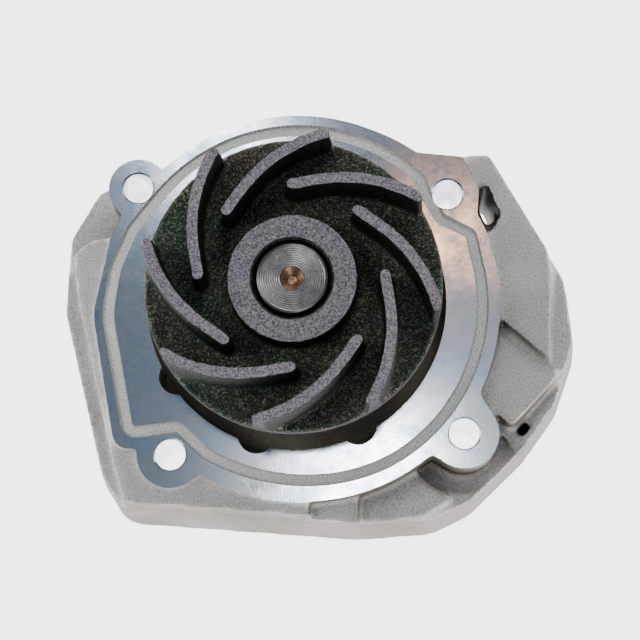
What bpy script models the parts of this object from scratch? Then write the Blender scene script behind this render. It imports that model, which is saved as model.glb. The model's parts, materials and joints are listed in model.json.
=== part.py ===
"""Belt-driven engine coolant pump, built as the pieces it comes apart into on a bench.

A die-cast housing bolts to the cylinder block by its ring flange. A double-row ball bearing whose
inner race is the shaft itself carries a toothed pulley at one end and a cast impeller at the other,
and a spring-loaded face seal keeps the coolant out of the bearing.

The shaft lies on +Z and points at the impeller. The origin is the centre of the pulley's outer face,
which the pump stands on. Sizes below are in millimetres, and each mesh is brought to metres once.
"""

import math

import bmesh
import bpy
from mathutils import Matrix, Vector

MM = 0.001
WELD = 1e-5
GAP = 0.3
PAST = 2.0

# Heights along the shaft
FLANGE_Z = 66.0
HOUSING_DEPTH = 28.0
CAST_FACE_Z = FLANGE_Z - 0.8
LEDGE_Z = FLANGE_Z - 9.0
CAVITY_FLOOR_Z = FLANGE_Z - 12.0
BACK_POCKET_Z = FLANGE_Z - 17.0
BOLT_SEAT_Z = FLANGE_Z - 23.0
HOUSING_BACK_Z = FLANGE_Z - HOUSING_DEPTH
NOSE_END_Z = 12.0

# Housing, in plan
RING_RADIUS = 44.7
BULGE_RADIUS = 45.2
BULGE_CENTRE = (1.7, -1.2)
CAVITY_RADIUS = 34.6
BOLT_HOLE_RADIUS = 3.5
BOLTS = {
    "upper_left": (-37.4, 27.1, 7.0),
    "upper_right": (35.0, 25.5, 8.0),
    "lower_right": (38.5, -30.8, 8.0),
    "lower_left": (-28.6, -35.8, 7.4),
}
COLUMN_EXTRA = 1.8
GROOVE_RADIUS = 41.0
GROOVE_WIDTH = 2.9
GROOVE_DEPTH = 0.8
WALL = 5.0
WALL_DRAFT = 1.6
FACE_DRAFT = 0.6
NOSE_RADIUS = 20.0
NOSE_ROOT_RADIUS = 24.5
RIB_WIDTH = 4.0
RIB_ANGLES = (20, 75, 125, 175, 235, 290, 335)
LOBE_ANGLES = (213, 254, 296)
LOBE_RADIUS = 4.2
LOBE_INSET = 2.0
WEEP_RADIUS = 1.8
WEEP_Z = 46.0

# Shaft and bearing
SHAFT_RADIUS = 7.96
SHAFT_TOP_Z = FLANGE_Z + 24.6
SHAFT_CHAMFER = 0.6
CENTRE_HOLE_RADIUS = 2.6
CENTRE_HOLE_DEPTH = 2.6
RACE_RADIUS = 15.0
RACE_BORE = 12.6
RACE_Z = (13.0, 45.0)
BALL_RADIUS = 3.1
BALL_PITCH_RADIUS = 10.65
BALL_COUNT = 8
RACEWAY_RADIUS = 3.35
ROW_Z = {"pulley_side": 21.0, "impeller_side": 37.0}
CAGE_RADII = (9.3, 12.0)
CAGE_FROM_ROW = (-1.3, 4.3)
LIP_SEAL_THICKNESS = 1.2
LIP_SEAL_INSET = 1.0

# Face seal
SEAL_BORE_RADIUS = 18.3
SEAL_BORE_Z = 47.0
SEAL_INNER_RADIUS = 9.4
CASE_Z = (47.4, 55.2)
CASE_SHEET = 0.9
CASE_FLANGE = 2.2
SPRING_TURNS = 3
SPRING_RADIUS = 14.4
SPRING_WIRE_RADIUS = 0.7
SPRING_LOW_Z = 49.4
SPRING_PITCH = 2.1
FACE_INNER_RADIUS = 9.6
CARBON_Z = (58.3, 60.2)
CARBON_RADII = (12.2, 14.0)
SEAT_Z = (60.5, 62.4)
SEAT_RADIUS = 12.6
BOOT_Z = (60.6, 63.1)
BOOT_RADIUS = 14.2

# Impeller
DISC_RADIUS = 33.5
DISC_Z = (FLANGE_Z + 15.4, FLANGE_Z + 18.4)
HUB_RADIUS = 13.9
HUB_TOP_Z = FLANGE_Z + 24.6
HUB_BACK_Z = 63.4
VANE_TOP_Z = FLANGE_Z + 28.4
VANE_COUNT = 8
VANE_THICKNESS = 2.9
VANE_INNER_RADIUS = 20.4
VANE_SWEEP = math.radians(59)
VANE_CURVE = 1.45

# Pulley
TOOTH_COUNT = 20
PULLEY_RADIUS = 29.7
TOOTH_DEPTH = 2.6
PULLEY_Z = (0.0, 26.0)
PULLEY_WEB_Z = 7.0
PULLEY_CAVITY_RADIUS = 23.6
PULLEY_HUB_RADIUS = 11.0
PULLEY_HUB_Z = 10.0
PULLEY_RECESS_DEPTH = 1.5
PULLEY_RECESS_RADII = (13.0, 24.5)
PLATE_THICKNESS = 1.3
PLATE_OVERHANG = 3.2


def clear_scene():
    for item in list(bpy.data.objects):
        bpy.data.objects.remove(item, do_unlink=True)


def material(name, colour, metallic, roughness):
    made = bpy.data.materials.new(name)
    made.use_nodes = True
    shader = made.node_tree.nodes["Principled BSDF"]
    shader.inputs["Base Color"].default_value = (*colour, 1.0)
    shader.inputs["Metallic"].default_value = metallic
    shader.inputs["Roughness"].default_value = roughness
    made.diffuse_color = (*colour, 1.0)
    return made


def add_object(name, bm, finish, at_z=0.0, parent=None):
    """Object from a mesh in millimetres, its origin on the shaft's axis at the height at_z."""
    bmesh.ops.recalc_face_normals(bm, faces=bm.faces)
    bm.transform(Matrix.Diagonal((MM, MM, MM, 1.0)))
    mesh = bpy.data.meshes.new(name)
    bm.to_mesh(mesh)
    bm.free()
    mesh.shade_smooth()
    mesh.set_sharp_from_angle(angle=math.radians(30))
    made = bpy.data.objects.new(name, mesh)
    made.location.z = at_z * MM
    made.parent = parent
    bpy.context.scene.collection.objects.link(made)
    if finish:
        mesh.materials.append(finish)
    return made


def add_axis(name):
    """Empty on the shaft's axis that carries the pieces that turn together."""
    axis = bpy.data.objects.new(name, None)
    bpy.context.scene.collection.objects.link(axis)
    return axis


def tool(name, bm):
    """Shape that only cuts or joins others."""
    made = add_object(name, bm, None)
    made.hide_render = True
    made.display_type = "WIRE"
    return made


def combine(target, other, operation):
    step = target.modifiers.new(other.name, "BOOLEAN")
    step.operation = operation
    step.solver = "EXACT"
    step.object = other


def turned(profile, steps=40):
    """Solid of revolution round Z from a (radius, height) outline; ends at radius 0 stay open."""
    bm = bmesh.new()
    verts = [bm.verts.new((radius, 0.0, z)) for radius, z in profile]
    edges = [bm.edges.new(pair) for pair in zip(verts, verts[1:])]
    if profile[0][0] > 0:
        edges.append(bm.edges.new((verts[-1], verts[0])))
    bmesh.ops.spin(
        bm,
        geom=verts + edges,
        cent=(0, 0, 0),
        axis=(0, 0, 1),
        angle=math.tau,
        steps=steps,
        use_merge=True,
    )
    bmesh.ops.remove_doubles(bm, verts=bm.verts, dist=WELD)
    return bm


def arc(centre, radius, start, end, steps):
    """Points along an arc, its angles in degrees."""
    angles = [math.radians(start + (end - start) * i / steps) for i in range(steps + 1)]
    return [(centre[0] + radius * math.cos(a), centre[1] + radius * math.sin(a)) for a in angles]


def grown(outline, distance):
    """Anticlockwise outline moved outwards by a distance, or inwards by a negative one."""
    moved = []
    for index, point in enumerate(outline):
        here = Vector(point)
        before = (here - Vector(outline[index - 1])).normalized()
        after = (Vector(outline[(index + 1) % len(outline)]) - here).normalized()
        normal = Vector((before.y + after.y, -before.x - after.x)).normalized()
        stretch = 1.0 / max(0.5, normal.dot(Vector((before.y, -before.x))))
        moved.append(tuple(here + normal * distance * stretch))
    return moved


def rounded(corners, steps=3):
    """Outline through (x, y, radius) corners, each turned into an arc of its radius."""
    outline = []
    for index, (x, y, radius) in enumerate(corners):
        here = Vector((x, y))
        back = (Vector(corners[index - 1][:2]) - here).normalized()
        ahead = (Vector(corners[(index + 1) % len(corners)][:2]) - here).normalized()
        half = back.angle(ahead) / 2
        centre = here + (back + ahead).normalized() * radius / math.sin(half)
        spoke = here + back * radius / math.tan(half) - centre
        sweep = (math.pi - 2 * half) * (1 if back.cross(ahead) < 0 else -1)
        for step in range(steps + 1 if radius else 1):
            outline.append(tuple(centre + Matrix.Rotation(sweep * step / steps, 2) @ spoke))
    return outline


def prism(outline, low, high, draft=0.0):
    """Block over an anticlockwise outline; its low end is wider all round by the draft."""
    bm = bmesh.new()
    top = bm.faces.new([bm.verts.new((x, y, high)) for x, y in outline])
    lowered = bmesh.ops.extrude_face_region(bm, geom=[top])["geom"]
    foot = next(item for item in lowered if isinstance(item, bmesh.types.BMFace))
    for corner, (x, y) in zip(foot.verts, grown(outline, draft)):
        corner.co = (x, y, low)
    return bm


def band(outline, width, low, high):
    """Closed channel of a width that follows an outline."""
    bm = bmesh.new()
    outer = [bm.verts.new((x, y, low)) for x, y in grown(outline, width / 2)]
    inner = [bm.verts.new((x, y, low)) for x, y in grown(outline, -width / 2)]
    faces = []
    for index in range(len(outline)):
        after = (index + 1) % len(outline)
        faces.append(bm.faces.new((outer[index], outer[after], inner[after], inner[index])))
    lifted = bmesh.ops.extrude_face_region(bm, geom=faces)["geom"]
    corners = [item for item in lifted if isinstance(item, bmesh.types.BMVert)]
    bmesh.ops.translate(bm, verts=corners, vec=(0, 0, high - low))
    return bm


def cylinder(centre, radius, low, high, steps=20):
    bm = bmesh.new()
    place = Matrix.Translation((centre[0], centre[1], (low + high) / 2))
    bmesh.ops.create_cone(
        bm,
        cap_ends=True,
        segments=steps,
        radius1=radius,
        radius2=radius,
        depth=high - low,
        matrix=place,
    )
    return bm


# Corners of the whole casting behind the flange, each with its radius
BODY_CORNERS = [
    (-30.0, 34.0, 3),
    (-47.6, 28.5, 4),
    (-54.2, 17.0, 5),
    (-55.0, -1.0, 8),
    (-45.4, -39.4, 5),
    (-40.4, -47.4, 5),
    (14.0, -51.2, 14),
    (31.0, -49.8, 8),
    (39.6, -45.6, 6),
    (52.3, -33.2, 8),
    (60.0, -22.4, 5),
    (64.6, -9.0, 8),
    (62.8, 6.0, 10),
    (57.4, 13.5, 4),
    (44.6, 36.0, 2.5),
    (29.0, 33.0, 5),
]


def body_outline(inset=0.0):
    """Outline of the casting, or of its hollow when it is moved inwards by a wall's thickness."""
    places = grown([(x, y) for x, y, _ in BODY_CORNERS], -inset)
    radii = [max(1.0, radius - inset) for _, _, radius in BODY_CORNERS]
    return rounded([(x, y, radius) for (x, y), radius in zip(places, radii)])


def groove_outline():
    """Middle of the sealing channel: round at the top and bottom, stepped past two bolt holes."""
    corners = [(x, y, 0) for x, y in arc((0, 0), GROOVE_RADIUS, 46, 146, 20)]
    corners += [(-41.6, 10.0, 8), (-43.3, -4.0, 12), (-38.4, -30.8, 2.5), (-27.0, -29.4, 1.6)]
    corners += [(x, y, 0) for x, y in arc((0, 0), GROOVE_RADIUS, 240, 290, 10)]
    corners += [(x, y, 0) for x, y in arc((1.0, -0.5), GROOVE_RADIUS + 1.0, 298, 372, 14)]
    corners += [(40.4, 16.0, 2), (33.4, 19.6, 4), (30.2, 25.0, 4)]
    return rounded(corners)


# Edges of the raised cast faces, each with the height of its top
RAISED_FACES = {
    "left_face": (
        CAST_FACE_Z,
        [
            (-30.0, 20.0, 0),
            (-43.3, 15.6, 0),
            (-48.5, 14.6, 2),
            (-52.4, 11.5, 2),
            (-51.0, 1.0, 4),
            (-42.1, -36.8, 6),
            (-39.2, -46.6, 2.5),
            (3.2, -49.6, 0),
            (2.0, -36.0, 0),
            (-20.0, -20.0, 0),
        ],
    ),
    "right_face": (
        CAST_FACE_Z,
        [
            (30.0, 5.0, 0),
            (46.6, -3.4, 0),
            (58.3, -13.4, 0),
            (58.8, 6.0, 4),
            (58.2, 12.4, 3),
            (44.8, 35.4, 1.5),
            (40.4, 35.2, 0.8),
            (29.5, 33.0, 0),
        ],
    ),
    "lobe_face": (
        FLANGE_Z - 2.5,
        [
            (55.0, -11.0, 0),
            (61.3, -16.6, 1),
            (63.7, -9.2, 6),
            (62.0, 5.6, 8),
            (57.8, 12.6, 2),
            (52.0, 12.0, 0),
        ],
    ),
    "sunk_face": (
        FLANGE_Z - 4.0,
        [(38.0, -20.0, 0), (49.8, -28.3, 1), (61.0, -16.0, 0), (46.6, -2.4, 0), (35.0, 0.0, 0)],
    ),
    "middle_step": (
        FLANGE_Z - 4.0,
        [(0.0, -38.0, 0), (3.0, -50.4, 0), (14.3, -50.8, 0), (14.3, -38.0, 0)],
    ),
    "right_step": (
        FLANGE_Z - 7.0,
        [(12.0, -38.0, 0), (14.3, -50.8, 0), (29.0, -49.2, 4), (35.6, -45.2, 0), (28.0, -34.0, 0)],
    ),
}

# Webs that join each bolt boss and the left bulge to the ring
FLANGE_WEBS = {
    "left_bulge": [
        (-30.0, 25.0, 0),
        (-43.6, 13.0, 3),
        (-46.9, -3.0, 12),
        (-41.0, -35.0, 3.5),
        (-20.0, -30.0, 0),
    ],
    "upper_left_web": [
        (-30.0, 26.0, 0),
        (-40.6, 21.6, 0),
        (-43.4, 15.7, 1),
        (-43.9, 11.0, 0),
        (-30.0, 10.0, 0),
    ],
    "upper_right_web": [
        (30.0, 10.0, 0),
        (44.9, 13.0, 0),
        (42.0, 22.0, 3),
        (41.8, 29.0, 3),
        (38.6, 34.6, 1.5),
        (24.0, 36.0, 0),
    ],
    "lower_right_web": [
        (20.0, -30.0, 0),
        (29.8, -34.9, 0),
        (36.0, -38.4, 0),
        (46.3, -31.0, 0),
        (43.7, -24.2, 0),
        (38.0, -15.0, 0),
    ],
}

# Gap between the upper right boss and the raised face beside it, and the openings cast through
SLOT = [
    (41.9, 20.6, 1),
    (44.7, 15.8, 0.5),
    (47.6, 21.4, 1.5),
    (44.2, 25.9, 2),
    (40.0, 34.0, 0),
    (38.6, 33.8, 0),
    (42.4, 26.6, 1),
]
LENS = [(42.4, 25.6, 1.5), (44.6, 19.5, 0.4), (46.6, 22.0, 1.5), (44.2, 29.5, 0.4)]
RIM_POCKET = [(50.6, -29.4, 0.4), (51.8, -31.0, 0.4), (58.6, -21.8, 1), (60.6, -18.2, 0)]


def nose_blank():
    """Bearing nose as a plain turned piece, before its bores."""
    return turned(
        [
            (0.0, NOSE_END_Z),
            (NOSE_RADIUS - 1.0, NOSE_END_Z),
            (NOSE_RADIUS, NOSE_END_Z + 1.0),
            (NOSE_RADIUS, HOUSING_BACK_Z - 4.0),
            (NOSE_ROOT_RADIUS, HOUSING_BACK_Z + 6.0),
            (NOSE_ROOT_RADIUS, CAVITY_FLOOR_Z - 1.0),
            (0.0, CAVITY_FLOOR_Z - 1.0),
        ]
    )


def back_core():
    """What stays standing at the back of the hollow casting: nose, ribs and bolt columns."""
    core = tool("back_core", nose_blank())
    for angle in RIB_ANGLES:
        rib = bmesh.new()
        bmesh.ops.create_cube(rib, size=1.0)
        rib.transform(Matrix.Diagonal((60.0, RIB_WIDTH, HOUSING_DEPTH, 1.0)))
        rib.transform(Matrix.Translation((40.0, 0.0, HOUSING_BACK_Z + HOUSING_DEPTH / 2 + 3.0)))
        rib.transform(Matrix.Rotation(math.radians(angle), 4, "Z"))
        combine(core, tool(f"back_rib_{angle}", rib), "UNION")
    for name, (x, y, radius) in BOLTS.items():
        column = cylinder((x, y), radius + COLUMN_EXTRA, BOLT_SEAT_Z, FLANGE_Z - 4.0)
        combine(core, tool(f"{name}_column", column), "UNION")
    return core


def build_housing(finish):
    body = prism(body_outline(), HOUSING_BACK_Z, LEDGE_Z, WALL_DRAFT)
    housing = add_object("pump_housing", body, finish)
    ring = cylinder((0, 0), RING_RADIUS, BACK_POCKET_Z + 0.5, FLANGE_Z, 80)
    bulge = cylinder(BULGE_CENTRE, BULGE_RADIUS, LEDGE_Z - 4.0, FLANGE_Z, 80)
    combine(housing, tool("flange_ring", ring), "UNION")
    combine(housing, tool("right_bulge", bulge), "UNION")
    for name, corners in FLANGE_WEBS.items():
        combine(housing, tool(name, prism(rounded(corners), LEDGE_Z - 3.0, FLANGE_Z)), "UNION")
    for name, (top, corners) in RAISED_FACES.items():
        face = prism(rounded(corners), LEDGE_Z - 2.0, top, FACE_DRAFT)
        combine(housing, tool(name, face), "UNION")
    for name, (x, y, radius) in BOLTS.items():
        boss = cylinder((x, y), radius, BOLT_SEAT_Z + 3.0, FLANGE_Z, 24)
        combine(housing, tool(f"{name}_boss", boss), "UNION")

    hollow = prism(body_outline(WALL), HOUSING_BACK_Z - PAST, BACK_POCKET_Z)
    pocket = tool("back_pocket", hollow)
    combine(pocket, back_core(), "DIFFERENCE")
    combine(housing, pocket, "DIFFERENCE")
    combine(housing, tool("nose_blank", nose_blank()), "UNION")

    cavity = cylinder((0, 0), CAVITY_RADIUS, CAVITY_FLOOR_Z, FLANGE_Z + PAST, 80)
    combine(housing, tool("impeller_cavity", cavity), "DIFFERENCE")
    for angle in LOBE_ANGLES:
        at = arc((0, 0), CAVITY_RADIUS - LOBE_INSET, angle, angle, 1)[0]
        lobe = cylinder(at, LOBE_RADIUS, CAVITY_FLOOR_Z + 1.0, FLANGE_Z + PAST, 12)
        combine(housing, tool(f"cavity_lobe_{angle}", lobe), "DIFFERENCE")
    bores = turned(
        [
            (0.0, NOSE_END_Z - PAST),
            (RACE_RADIUS + GAP, NOSE_END_Z - PAST),
            (RACE_RADIUS + GAP, RACE_Z[1] + GAP),
            (RACE_RADIUS - 2.0, RACE_Z[1] + GAP),
            (RACE_RADIUS - 2.0, SEAL_BORE_Z),
            (SEAL_BORE_RADIUS + GAP, SEAL_BORE_Z),
            (SEAL_BORE_RADIUS + GAP, CAVITY_FLOOR_Z + PAST),
            (0.0, CAVITY_FLOOR_Z + PAST),
        ]
    )
    combine(housing, tool("bearing_and_seal_bores", bores), "DIFFERENCE")
    for name, (x, y, radius) in BOLTS.items():
        hole = cylinder((x, y), BOLT_HOLE_RADIUS, HOUSING_BACK_Z - PAST, FLANGE_Z + PAST)
        combine(housing, tool(f"{name}_hole", hole), "DIFFERENCE")
        seat = cylinder((x, y), radius + 0.3, HOUSING_BACK_Z - PAST, BOLT_SEAT_Z, 24)
        combine(housing, tool(f"{name}_seat", seat), "DIFFERENCE")
    groove = band(groove_outline(), GROOVE_WIDTH, FLANGE_Z - GROOVE_DEPTH, FLANGE_Z + PAST)
    combine(housing, tool("seal_groove", groove), "DIFFERENCE")
    slot = prism(rounded(SLOT), LEDGE_Z, FLANGE_Z + PAST)
    combine(housing, tool("boss_slot", slot), "DIFFERENCE")
    lens = prism(rounded(LENS), HOUSING_BACK_Z - PAST, FLANGE_Z + PAST)
    combine(housing, tool("lens_opening", lens), "DIFFERENCE")
    rim_pocket = prism(rounded(RIM_POCKET), BACK_POCKET_Z - PAST, FLANGE_Z)
    combine(housing, tool("rim_opening", rim_pocket), "DIFFERENCE")
    weep = cylinder((0, 0), WEEP_RADIUS, 0.0, 20.0, 12)
    weep.transform(Matrix.Rotation(math.radians(90), 4, "X"))
    weep.transform(Matrix.Translation((0.0, -10.0, WEEP_Z)))
    combine(housing, tool("weep_hole", weep), "DIFFERENCE")
    return housing


def vane_outline():
    """One backward-curved vane seen from the front, its ends rounded."""
    steps = 10
    line = []
    for step in range(steps + 1):
        share = step / steps
        reach = DISC_RADIUS - 0.4 - VANE_INNER_RADIUS
        radius = VANE_INNER_RADIUS + reach * share**VANE_CURVE
        angle = -VANE_SWEEP * share
        line.append(Vector((radius * math.cos(angle), radius * math.sin(angle))))
    left, right = [], []
    for index, point in enumerate(line):
        along = (line[min(index + 1, steps)] - line[max(index - 1, 0)]).normalized()
        side = Vector((-along.y, along.x)) * VANE_THICKNESS / 2
        left.append(tuple(point + side))
        right.append(tuple(point - side))
    nib = line[0] - (line[1] - line[0]).normalized() * VANE_THICKNESS * 0.4
    return [tuple(nib)] + right + left[::-1]


def build_impeller(finish, rotor):
    blank = turned(
        [
            (SHAFT_RADIUS + GAP, HUB_BACK_Z),
            (HUB_RADIUS - 2.4, HUB_BACK_Z),
            (HUB_RADIUS - 1.2, DISC_Z[0] - 1.5),
            (HUB_RADIUS + 1.0, DISC_Z[0]),
            (DISC_RADIUS, DISC_Z[0]),
            (DISC_RADIUS, DISC_Z[1]),
            (HUB_RADIUS + 0.6, DISC_Z[1]),
            (HUB_RADIUS, HUB_TOP_Z),
            (SHAFT_RADIUS + 0.85, HUB_TOP_Z),
            (SHAFT_RADIUS + 0.85, HUB_TOP_Z - 4.0),
            (SHAFT_RADIUS + GAP, HUB_TOP_Z - 4.6),
        ],
        64,
    )
    impeller = add_object("impeller", blank, finish, parent=rotor)
    for index in range(VANE_COUNT):
        vane = prism(vane_outline(), DISC_Z[0] + 1.0, VANE_TOP_Z)
        vane.transform(Matrix.Rotation(math.tau * index / VANE_COUNT, 4, "Z"))
        combine(impeller, tool(f"vane_{index + 1}", vane), "UNION")
    return impeller


def raceway(centre_z, ball_side, steps=4):
    """Points up one ball track, as (radius, height); ball_side is 1 outside the balls, -1 inside."""
    edge = RACE_BORE if ball_side > 0 else SHAFT_RADIUS
    reach = abs(edge - BALL_PITCH_RADIUS)
    half = math.acos(reach / RACEWAY_RADIUS)
    points = []
    for step in range(steps + 1):
        angle = -half + 2 * half * step / steps
        radius = BALL_PITCH_RADIUS + ball_side * RACEWAY_RADIUS * math.cos(angle)
        points.append((radius, centre_z + RACEWAY_RADIUS * math.sin(angle)))
    return points


def build_shaft(finish, rotor):
    profile = [(0.0, 0.0), (SHAFT_RADIUS - SHAFT_CHAMFER, 0.0), (SHAFT_RADIUS, SHAFT_CHAMFER)]
    for centre in ROW_Z.values():
        profile += raceway(centre, -1)
    profile += [
        (SHAFT_RADIUS, SHAFT_TOP_Z - 0.5),
        (SHAFT_RADIUS - 0.5, SHAFT_TOP_Z),
        (CENTRE_HOLE_RADIUS, SHAFT_TOP_Z),
        (1.0, SHAFT_TOP_Z - CENTRE_HOLE_DEPTH + 0.6),
        (0.0, SHAFT_TOP_Z - CENTRE_HOLE_DEPTH),
    ]
    return add_object("pump_shaft", turned(profile, 36), finish, parent=rotor)


def build_bearing(race_finish, ball_finish, cage_finish, lip_finish, axes):
    low, high = RACE_Z
    profile = [(RACE_BORE, high), (RACE_RADIUS - 0.5, high), (RACE_RADIUS, high - 0.5)]
    profile += [(RACE_RADIUS, low + 0.5), (RACE_RADIUS - 0.5, low), (RACE_BORE, low)]
    for centre in ROW_Z.values():
        profile += raceway(centre, 1)
    add_object("bearing_outer_race", turned(profile, 36), race_finish)

    lip_heights = {
        "pulley_side": low + LIP_SEAL_INSET,
        "impeller_side": high - LIP_SEAL_INSET - LIP_SEAL_THICKNESS,
    }
    for side, at in lip_heights.items():
        shield = turned(
            [
                (SHAFT_RADIUS + GAP, 0.0),
                (RACE_BORE - GAP, 0.0),
                (RACE_BORE - GAP, LIP_SEAL_THICKNESS),
                (SHAFT_RADIUS + 1.2, LIP_SEAL_THICKNESS),
            ],
            32,
        )
        add_object(f"bearing_lip_seal_{side}", shield, lip_finish, at_z=at)

    shared = None
    inner, outer = CAGE_RADII
    foot, head = CAGE_FROM_ROW
    for side, centre in ROW_Z.items():
        cage = turned([(inner, foot), (outer, foot), (outer, head), (inner, head)], 32)
        cage = add_object(f"ball_cage_{side}", cage, cage_finish, at_z=centre, parent=axes[side])
        for index in range(BALL_COUNT):
            angle = math.tau * index / BALL_COUNT
            at = Vector((math.cos(angle), math.sin(angle), 0.0)) * BALL_PITCH_RADIUS
            seat = bmesh.new()
            bmesh.ops.create_icosphere(seat, subdivisions=2, radius=BALL_RADIUS + GAP)
            seat.transform(Matrix.Translation(at + Vector((0, 0, centre))))
            combine(cage, tool(f"ball_pocket_{side}_{index + 1}", seat), "DIFFERENCE")
            if shared is None:
                sphere = bmesh.new()
                bmesh.ops.create_icosphere(sphere, subdivisions=2, radius=BALL_RADIUS)
                ball = add_object("bearing_ball", sphere, ball_finish)
                shared = ball.data
                bpy.data.objects.remove(ball, do_unlink=True)
            name = f"bearing_ball_{side}_{index + 1}"
            ball = bpy.data.objects.new(name, shared)
            ball.location = (at + Vector((0, 0, centre))) * MM
            ball.parent = axes[side]
            bpy.context.scene.collection.objects.link(ball)


def build_spring(finish):
    """Round-wire compression spring, its ends left open."""
    per_turn, around = 14, 5
    bm = bmesh.new()
    rings = []
    for step in range(SPRING_TURNS * per_turn + 1):
        angle = math.tau * step / per_turn
        outward = Vector((math.cos(angle), math.sin(angle), 0.0))
        rise = SPRING_LOW_Z + SPRING_PITCH * step / per_turn
        centre = outward * SPRING_RADIUS + Vector((0.0, 0.0, rise))
        ring = []
        for spoke in range(around):
            turn = math.tau * spoke / around
            offset = outward * math.cos(turn) + Vector((0, 0, math.sin(turn)))
            ring.append(bm.verts.new(centre + offset * SPRING_WIRE_RADIUS))
        rings.append(ring)
    bm.faces.new(rings[0])
    bm.faces.new(rings[-1])
    for first, second in zip(rings, rings[1:]):
        for spoke in range(around):
            after = (spoke + 1) % around
            bm.faces.new((first[spoke], first[after], second[after], second[spoke]))
    return add_object("seal_spring", bm, finish)


def build_face_seal(metal, rubber, carbon, ceramic, rotor):
    """Stationary half in the housing bore, rotating seat behind the impeller."""
    low, high = CASE_Z
    case = turned(
        [
            (SEAL_INNER_RADIUS, low),
            (SEAL_BORE_RADIUS, low),
            (SEAL_BORE_RADIUS, high - CASE_SHEET),
            (SEAL_BORE_RADIUS + CASE_FLANGE, high - CASE_SHEET),
            (SEAL_BORE_RADIUS + CASE_FLANGE, high),
            (SEAL_BORE_RADIUS - CASE_SHEET, high),
            (SEAL_BORE_RADIUS - CASE_SHEET, low + CASE_SHEET),
            (SEAL_INNER_RADIUS, low + CASE_SHEET),
        ],
        40,
    )
    add_object("seal_case", case, metal)
    build_spring(metal)
    bellows = turned(
        [
            (SEAL_INNER_RADIUS, 48.7),
            (12.9, 48.7),
            (12.9, 50.0),
            (11.4, 51.6),
            (13.0, 53.4),
            (11.6, 55.2),
            (11.9, 56.9),
            (15.6, 57.2),
            (15.6, 58.0),
            (10.4, 58.0),
            (10.4, 55.6),
            (SEAL_INNER_RADIUS, 53.4),
            (10.2, 51.6),
            (SEAL_INNER_RADIUS, 50.2),
        ],
        28,
    )
    add_object("seal_bellows", bellows, rubber)
    nose, body = CARBON_RADII
    ring = turned(
        [
            (FACE_INNER_RADIUS, CARBON_Z[0]),
            (body, CARBON_Z[0]),
            (body, CARBON_Z[1] - 0.6),
            (nose, CARBON_Z[1]),
            (FACE_INNER_RADIUS, CARBON_Z[1]),
        ],
        32,
    )
    add_object("seal_carbon_ring", ring, carbon)
    seat = turned(
        [
            (FACE_INNER_RADIUS, SEAT_Z[0]),
            (SEAT_RADIUS, SEAT_Z[0]),
            (SEAT_RADIUS, SEAT_Z[1]),
            (FACE_INNER_RADIUS, SEAT_Z[1]),
        ],
        32,
    )
    add_object("seal_seat_ring", seat, ceramic, parent=rotor)
    foot, head = BOOT_Z
    boot = turned(
        [
            (SHAFT_RADIUS + GAP, foot),
            (FACE_INNER_RADIUS - GAP, foot),
            (FACE_INNER_RADIUS - GAP, SEAT_Z[1] + GAP),
            (SEAT_RADIUS + GAP, SEAT_Z[1] + GAP),
            (SEAT_RADIUS + GAP, foot + 0.2),
            (BOOT_RADIUS, foot + 0.2),
            (BOOT_RADIUS, head),
            (SHAFT_RADIUS + GAP, head),
        ],
        32,
    )
    add_object("seal_seat_boot", boot, rubber, parent=rotor)


def tooth_outline():
    """Rim of the toothed pulley: round-bottomed belt grooves between flat-topped teeth."""
    pitch = math.tau / TOOTH_COUNT
    shape = [(-0.30, 0.0), (-0.23, 0.3), (-0.17, 0.85), (-0.08, 1.0)]
    shape += [(-share, depth) for share, depth in reversed(shape)]
    outline = []
    for tooth in range(TOOTH_COUNT):
        for share, depth in shape:
            angle = (tooth + share) * pitch
            radius = PULLEY_RADIUS - TOOTH_DEPTH * depth
            outline.append((radius * math.cos(angle), radius * math.sin(angle)))
    return outline


def build_pulley(finish, plate_finish, rotor):
    low, high = PULLEY_Z
    pulley = add_object("drive_pulley", prism(tooth_outline(), low, high), finish, parent=rotor)
    hollow = turned(
        [
            (PULLEY_HUB_RADIUS, high + PAST),
            (PULLEY_HUB_RADIUS, PULLEY_HUB_Z),
            (PULLEY_HUB_RADIUS, PULLEY_WEB_Z),
            (PULLEY_CAVITY_RADIUS, PULLEY_WEB_Z),
            (PULLEY_CAVITY_RADIUS, high + PAST),
        ],
        48,
    )
    combine(pulley, tool("pulley_hollow", hollow), "DIFFERENCE")
    short_hub = cylinder((0, 0), PULLEY_HUB_RADIUS + 1.0, PULLEY_HUB_Z, high + PAST, 48)
    combine(pulley, tool("hub_trim", short_hub), "DIFFERENCE")
    near, far = PULLEY_RECESS_RADII
    depth = PULLEY_RECESS_DEPTH
    recess = turned([(near, -PAST), (near, depth), (far, depth), (far + 1.0, -PAST)], 48)
    combine(pulley, tool("front_recess", recess), "DIFFERENCE")
    bore = cylinder((0, 0), SHAFT_RADIUS + GAP, -PAST, high, 48)
    combine(pulley, tool("pulley_bore", bore), "DIFFERENCE")
    seat = high + GAP
    plate = turned(
        [
            (PULLEY_CAVITY_RADIUS + 0.4, seat),
            (PULLEY_RADIUS + 0.6, seat),
            (PULLEY_RADIUS + PLATE_OVERHANG, seat + 1.0),
            (PULLEY_RADIUS + PLATE_OVERHANG, seat + 2.0),
            (PULLEY_RADIUS + 0.4, seat + PLATE_THICKNESS),
            (PULLEY_CAVITY_RADIUS + 0.4, seat + PLATE_THICKNESS),
        ],
        48,
    )
    add_object("pulley_guide_plate", plate, plate_finish, parent=rotor)


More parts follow.
